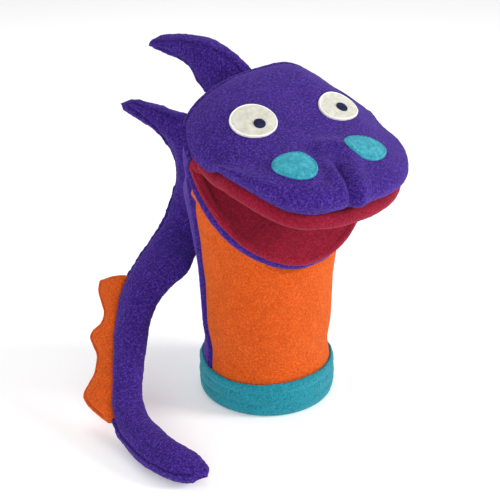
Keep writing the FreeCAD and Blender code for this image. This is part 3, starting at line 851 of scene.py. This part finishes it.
def make_cuff():
    """Turquoise strip folded double, with the soft ridges of its hem."""
    around = 300
    angle = np.linspace(0, 2 * math.pi, around, endpoint=False)
    profile = [
        (44.0, 25.0), (43.0, 20.0), (42.6, 12.0), (42.8, 4.0), (44.2, 0.8), (46.2, 0.15),
        (48.2, 1.0), (49.2, 4.0), (49.5, 7.5), (48.9, 10.0), (49.5, 13.0), (49.2, 16.5),
        (48.7, 18.5), (49.4, 21.5), (48.9, 24.6), (47.6, 26.2), (46.4, 25.4),
    ]
    line = smooth_line(profile + profile[:1], np.linspace(0, 1, 90)[:-1])
    rings = []
    for turn in angle:
        sway = 0.9 * math.sin(turn * 2 + 0.6) + 0.5 * math.sin(turn * 3 + 2.0)
        high = np.clip((line[:, 1] - 14) / 12, 0, 1)
        z = line[:, 1] + sway * high
        ring = np.stack([line[:, 0] * math.sin(turn), -line[:, 0] * math.cos(turn), z], -1)
        rings.append(ring)
    grid = np.stack(rings)
    radial = np.stack([np.sin(angle), -np.cos(angle), np.zeros(around)], -1)[:, None]
    wave = fuzz_field(grid * np.array([1, 1, 2.6]), 15.0, 2) * 0.55
    outside = (line[:, 0] > 46.5)[None, :]
    wave = wave * outside * step_up(grid[..., 2], 0.5, 5)
    grid = grid + radial * wave[..., None]
    nap_field = fuzz_field(grid, 1.7) * 0.2 * step_up(grid[..., 2], 0.3, 2.5)
    cuff = tube("cuff_fold", grid + radial * nap_field[..., None], True)
    dress(cuff, "turquoise_fleece", "sleeve")
    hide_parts("cuff_band", "cuff_stitching")


# ---------------------------------------------------------------- stuffed fin, spikes and tail

# Stations: one sewn edge, the other sewn edge, half thickness. The tail's edges and the
# crest below were fitted to the photographed outline by scratch programs, then rounded.
UPPER_SPIKE = [
    ((3, 15, 226), (-1, 30, 198), 5.0),
    ((3, 24, 231), (-3, 38, 202), 6.2),
    ((1, 34, 238), (-10, 53, 205), 7.0),
    ((-7, 47, 246.5), (-18, 61.5, 218), 8.0),
    ((-16, 59, 251), (-21, 67, 228), 7.6),
    ((-25, 72, 251.5), (-28, 77, 234), 6.6),
    ((-33, 84, 249), (-35.5, 87.5, 237), 5.2),
    ((-37, 90, 246), (-38.3, 91.5, 239), 3.6),
]
SPIKE_TO_TAIL = [
    ((-49.5, 118, 198), (-50.2, 119.5, 193), 2.6),
    ((-46, 114, 200), (-48, 116.8, 190), 4.0),
    ((-38, 102, 200), (-42, 107.5, 184.5), 5.6),
    ((-30, 91, 196.5), (-36, 99.5, 179), 6.6),
    ((-22.5, 80, 193), (-31.5, 92.8, 168), 6.8),
    ((-13, 66.5, 189), (-28, 88.5, 156), 6.6),
    ((-4, 54, 178), (-27.4, 87.2, 146), 6.2),
    ((-1.0, 48.5, 160), (-27.6, 87.6, 137), 6.2),
    ((-1.0, 48.5, 138), (-29.5, 88.5, 128), 6.6),
    ((-1.5, 49.5, 116), (-34, 86.0, 119), 7.2),
    ((-12, 53, 101), (-42, 81.5, 110), 8.0),
    ((-27, 48.5, 95), (-53, 77, 100), 8.4),
    ((-44, 35, 89), (-64, 73.5, 90), 8.4),
    ((-60, 34.5, 80), (-72, 71, 82.5), 8.2),
    ((-70, 32.5, 73), (-80, 67.5, 75), 8.0),
    ((-79.5, 27, 63), (-88, 61, 66), 8.0),
    ((-87, 19, 54), (-99, 48, 52), 8.0),
    ((-94, 11, 45), (-109.5, 32, 38.5), 8.0),
    ((-100, 3, 38), (-118.5, 16, 26), 8.0),
    ((-106, -6.5, 30), (-126.5, 2, 15), 8.0),
    ((-109.8, -19.4, 23.5), (-131.4, -15.6, 7.2), 8.0),
    ((-109.4, -33.4, 19.5), (-132.8, -33, 5.0), 8.0),
    ((-109.0, -50.6, 17.5), (-132.2, -53.6, 4.6), 7.8),
    ((-105.8, -63.6, 16), (-127.0, -72, 4.6), 7.2),
    ((-102.4, -72.2, 14.5), (-118.4, -83.6, 5.6), 5.8),
    ((-102.6, -80.2, 12.5), (-109.6, -88.4, 7.8), 3.8),
]
# The crest: places along SPIKE_TO_TAIL of its sewn edge and its free edge, and how far
# the free edge stands out from the tail.
CREST = [
    (13.6, 14.5, 17), (13.8, 14.66, 20), (14.3, 14.92, 20.3), (14.8, 15.16, 18.8), (15.25, 15.42, 13.5),
    (15.6, 15.68, 8.5), (16.0, 16.0, 10), (16.28, 16.28, 17), (16.46, 16.46, 18.4), (16.66, 16.66, 15.2),
    (16.92, 16.92, 10.8), (17.16, 17.16, 10.3), (17.47, 17.47, 12), (17.72, 17.72, 17), (17.95, 17.95, 21.2),
    (18.22, 18.22, 19), (18.5, 18.5, 14.8), (18.8, 18.8, 10), (19.15, 19.15, 4.5), (19.4, 19.4, 0),
]
TAIL_FACING = np.array([-0.633, -0.232, 0.739])
FIN_FACING = np.array([-0.819, -0.574, 0.0])


def lens_rings(stations, params, facing, around, fullness=0.8):
    """Stuffed cross-sections, pointed at the two sewn edges."""
    edge_a = smooth_line([s[0] for s in stations], params)
    edge_b = smooth_line([s[1] for s in stations], params)
    half = smooth_line([[s[2]] for s in stations], params)[:, 0]
    middle = (edge_a + edge_b) / 2
    reach = (edge_b - edge_a) / 2
    width = np.linalg.norm(reach, axis=1, keepdims=True)
    across = reach / width
    up = unit(facing - across * (facing * across).sum(1, keepdims=True))
    angles = np.linspace(0, 2 * math.pi, around, endpoint=False)
    u = -np.cos(angles)
    v = np.sign(np.sin(angles)) * np.abs(np.sin(angles)) ** fullness
    rings = (
        middle[:, None] + across[:, None] * (u[None, :, None] * width[:, None])
        + up[:, None] * (v[None, :, None] * half[:, None, None])
    )
    return rings, u, v


def round_end(rings, at_start, reach):
    """Extra shrinking rings that close a stuffed end softly."""
    end = rings[0] if at_start else rings[-1]
    before = rings[1] if at_start else rings[-2]
    centre = end.mean(0)
    out = centre - before.mean(0)
    out /= np.linalg.norm(out)
    extra = []
    for angle in np.linspace(0, math.pi / 2, 7)[1:-1]:
        shrink, ahead = math.cos(angle), math.sin(angle)
        extra.append(centre + (end - centre) * shrink + out * reach * ahead)
    extra = np.array(extra)
    return np.concatenate([extra[::-1], rings]) if at_start else np.concatenate([rings, extra])


def seam_groove(rings, u, v, first, second, depth=1.8, band=4.2):
    """Press the stitched line in, leaving a soft rim outside it.

    first and second say how strongly it shows along each sewn edge.
    """
    edge_a, edge_b = rings[:, np.argmin(u)], rings[:, np.argmax(u)]
    across = edge_b - edge_a
    width = np.linalg.norm(across, axis=1)[:, None]
    across = (across / width)[:, None]
    offset = rings - rings.mean(1, keepdims=True)
    proud = unit(offset - across * (offset * across).sum(-1, keepdims=True))
    run = np.arange(len(rings))[:, None]
    ends = step_up(run, 6, 20) * step_up(-run, 6 - len(rings), 20 - len(rings))
    press = 0
    for side, weight in ((-1, first), (1, second)):
        gap = (1 - side * u)[None, :] * width / 2
        line = depth * bump(gap, band, 0.9) - 0.5 * bump(gap, band * 0.45, 1.1)
        press = press + line * np.reshape(weight, (-1, 1))
    press = press * (np.abs(v) > 0.05)[None, :] * step_up(width, 2 * band, 2 * band + 5) * ends
    return rings - proud * press[..., None]


def inflated(rings, voxel=4.0, cap=5.0):
    """Fill a sewn skin with air by cloth simulation and lay the rings on the result."""
    model = tube("sewn_shape", rings)
    remesh = model.modifiers.new("even", "REMESH")
    remesh.mode = "VOXEL"
    remesh.voxel_size = voxel * 0.001
    depsgraph = bpy.context.evaluated_depsgraph_get()
    even = bpy.data.meshes.new_from_object(model.evaluated_get(depsgraph))
    cloth_object = add_object("filled_shape", even)
    cloth = cloth_object.modifiers.new("cloth", "CLOTH")
    settings = cloth.settings
    settings.quality = 6
    settings.mass = 0.25
    settings.tension_stiffness = 18
    settings.compression_stiffness = 12
    settings.shear_stiffness = 6
    settings.bending_stiffness = 0.4
    settings.use_pressure = True
    settings.uniform_pressure_force = 4
    settings.effector_weights.gravity = 0
    cloth.point_cache.frame_start = 1
    cloth.point_cache.frame_end = 20
    rest = np.array([v.co[:] for v in even.vertices])
    for step in range(1, 21):
        bpy.context.scene.frame_set(step)
    depsgraph = bpy.context.evaluated_depsgraph_get()
    filled = cloth_object.evaluated_get(depsgraph).to_mesh()
    moved = np.array([v.co[:] for v in filled.vertices]) - rest
    moved -= moved.mean(0)
    length = np.linalg.norm(moved, axis=1, keepdims=True)
    limit = cap * 0.001
    moved *= limit * np.tanh(length / limit) / np.maximum(length, 1e-9)
    tree = BVHTree.FromPolygons(
        [Vector(p) for p in rest + moved], [tuple(face.vertices) for face in even.polygons]
    )
    cloth_object.evaluated_get(depsgraph).to_mesh_clear()
    bpy.context.scene.frame_set(1)
    for obj in (model, cloth_object):
        mesh = obj.data
        bpy.data.objects.remove(obj)
        bpy.data.meshes.remove(mesh)
    flat = rings.reshape(-1, 3)
    landed = np.array([np.array(tree.find_nearest(Vector(p))[0]) for p in mm(flat)]) * 1000.0
    return landed.reshape(rings.shape)


def ring_nap(rings, amount=0.25, broad=0.5):
    """Pile and slow unevenness on a stuffed piece, away from its middle line."""
    outward = unit(rings - rings.mean(1, keepdims=True))
    lift = fuzz_field(rings, 1.7) * amount + fuzz_field(rings, 15.0, 2) * broad
    return rings + outward * lift[..., None]


def make_upper_spike():
    rings, u, v = lens_rings(UPPER_SPIKE, np.linspace(0, 1, 90), FIN_FACING, 88)
    rings = round_end(rings, False, 3.0)
    rings = seam_groove(inflated(rings), u, v, 1.0, 0.6)
    spike = tube("upper_spike_skin", ring_nap(rings))
    dress(spike, "purple_fleece")
    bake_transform(spike)
    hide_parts("upper_spike_right_layer", "upper_spike_left_layer", "upper_spike_stuffing")


def dorsal_rings():
    count = len(SPIKE_TO_TAIL)
    params = np.linspace(0, 1, 440)
    turn = step_up(params * (count - 1), 6.0, 12.0)[:, None]
    facing = unit(FIN_FACING * (1 - turn) + TAIL_FACING * turn)
    rings, u, v = lens_rings(SPIKE_TO_TAIL, params, facing, 88)
    rings = round_end(round_end(rings, True, 2.5), False, 4.0)
    place = np.r_[[0.0] * 5, params * (count - 1), [count - 1.0] * 5]
    rings = seam_groove(inflated(rings), u, v, 0.8 * step_up(-place, -11, -8), np.ones(len(place)))
    return ring_nap(rings), place


def make_dorsal_piece():
    """One long stuffed piece: lower spike, fin, tail. It is parted where it bends."""
    rings, place = dorsal_rings()
    cuts = [0, int(np.argmax(place >= 8.5)), int(np.argmax(place >= 16.5)), len(rings) - 1]
    names = ("fin_and_spike_skin", "tail_upper_skin", "tail_lower_skin")
    made = []
    for name, first, last in zip(names, cuts[:-1], cuts[1:]):
        piece = tube(name, rings[first:last + 1])
        dress(piece, "purple_fleece")
        made.append(piece)
    fin, upper, lower = made
    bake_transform(fin)
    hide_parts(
        "dorsal_fin_right_layer", "dorsal_fin_left_layer", "dorsal_fin_stuffing",
        "lower_spike_right_layer", "lower_spike_left_layer", "lower_spike_stuffing"
    )
    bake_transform(upper)
    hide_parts("tail_base_right_layer", "tail_base_left_layer", "tail_base_stuffing")
    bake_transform(lower)
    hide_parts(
        "tail_middle_right_layer", "tail_middle_left_layer", "tail_middle_stuffing",
        "tail_tip_right_layer", "tail_tip_left_layer", "tail_tip_stuffing"
    )


def make_crest():
    """Orange crest with three knobs, sewn along the tail's outer edge."""
    share = np.linspace(0, 1, 260)
    near_at, far_at, reach = smooth_line(CREST, share).T
    count = len(SPIKE_TO_TAIL) - 1

    def tail_edge(place):
        inner = smooth_line([s[0] for s in SPIKE_TO_TAIL], place / count)
        outer = smooth_line([s[1] for s in SPIKE_TO_TAIL], place / count)
        return outer, unit(outer - inner)

    outer, outward = tail_edge(near_at)
    near = outer - outward * 4.5 + TAIL_FACING * 5.0
    outer, outward = tail_edge(far_at)
    far = outer + outward * reach[:, None] + TAIL_FACING * 2.0
    stations = [(tuple(a), tuple(b), 4.6) for a, b in zip(near, far)]
    rings, u, v = lens_rings(stations, share, TAIL_FACING, 80, 0.7)
    rings = round_end(rings, True, 2.4)
    rings = seam_groove(rings, u, v, 0.0, 1.0, 1.5, 3.2)
    crest = tube("crest_skin", ring_nap(rings, 0.16, 0.4))
    dress(crest, "orange_fleece", "tail_middle")
    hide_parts("crest_right_layer", "crest_left_layer", "crest_stuffing")


# ---------------------------------------------------------------- inner CAD pieces that stay

def dress_inner_nodes():
    inner = {
        "upper_mouth_board": "mouth_board", "lower_mouth_board": "mouth_board",
        "finger_pocket": "pocket_lining", "thumb_pocket": "pocket_lining",
    }
    for node, material in inner.items():
        obj = frame["nodes"][node]
        obj.data.materials.clear()
        obj.data.materials.append(MATERIALS[material])
        keep_rest(obj)


# ---------------------------------------------------------------- stage, light and camera

def make_floor():
    mesh = bpy.data.meshes.new("floor")
    size = 6.0
    corners = [(-size, -size, 0), (size, -size, 0), (size, size, 0), (-size, size, 0)]
    mesh.from_pydata(corners, [], [(0, 1, 2, 3)])
    floor = add_object("floor", mesh)
    material = bpy.data.materials.new("floor_white")
    material.use_nodes = True
    shader = material.node_tree.nodes["Principled BSDF"]
    shader.inputs["Base Color"].default_value = (0.93, 0.93, 0.93, 1)
    shader.inputs["Roughness"].default_value = 0.8
    shader.inputs["Emission Color"].default_value = (1, 1, 1, 1)
    shader.inputs["Emission Strength"].default_value = 0.14
    mesh.materials.append(material)


def area_light(name, place, target, size, power):
    data = bpy.data.lights.new(name, "AREA")
    data.shape = "SQUARE"
    data.size = size
    data.energy = power
    light = add_object(name, data)
    light.location = place
    light.rotation_euler = (Vector(target) - Vector(place)).to_track_quat("-Z", "Y").to_euler()


def make_light():
    world = bpy.data.worlds.new("studio")
    world.use_nodes = True
    background = world.node_tree.nodes["Background"]
    background.inputs["Color"].default_value = (1, 1, 1, 1)
    background.inputs["Strength"].default_value = 0.68
    bpy.context.scene.world = world
    middle = (0, 0, 0.12)
    area_light("key_right", (0.95, -0.8, 0.62), middle, 0.4, 13.5)
    area_light("left_soft", (-1.0, -0.9, 0.45), middle, 0.8, 9)
    area_light("top_back", (0.1, 0.8, 1.0), middle, 0.8, 3)


def make_camera():
    azimuth, elevation, distance = math.radians(-33), math.radians(25), 0.850
    target = Vector((0.0122, 0.0414, 0.0886))
    back = Vector((
        math.sin(azimuth) * math.cos(elevation), -math.cos(azimuth) * math.cos(elevation), math.sin(elevation)
    ))
    data = bpy.data.cameras.new("camera")
    data.sensor_width = 36
    data.lens = 82.0
    camera = add_object("camera", data)
    camera.location = target + back * distance
    camera.rotation_euler = (-back).to_track_quat("-Z", "Y").to_euler()
    bpy.context.scene.camera = camera
    bpy.context.scene.view_settings.view_transform = "Standard"


make_face()
make_eyes()
make_nostrils()
make_upper_mouth()
make_lower_mouth()
make_lip_band()
make_mouth_corners()
make_sleeve_front()
make_sleeve_back()
make_cuff()
make_upper_spike()
make_dorsal_piece()
make_crest()
dress_inner_nodes()
make_floor()
make_light()
make_camera()
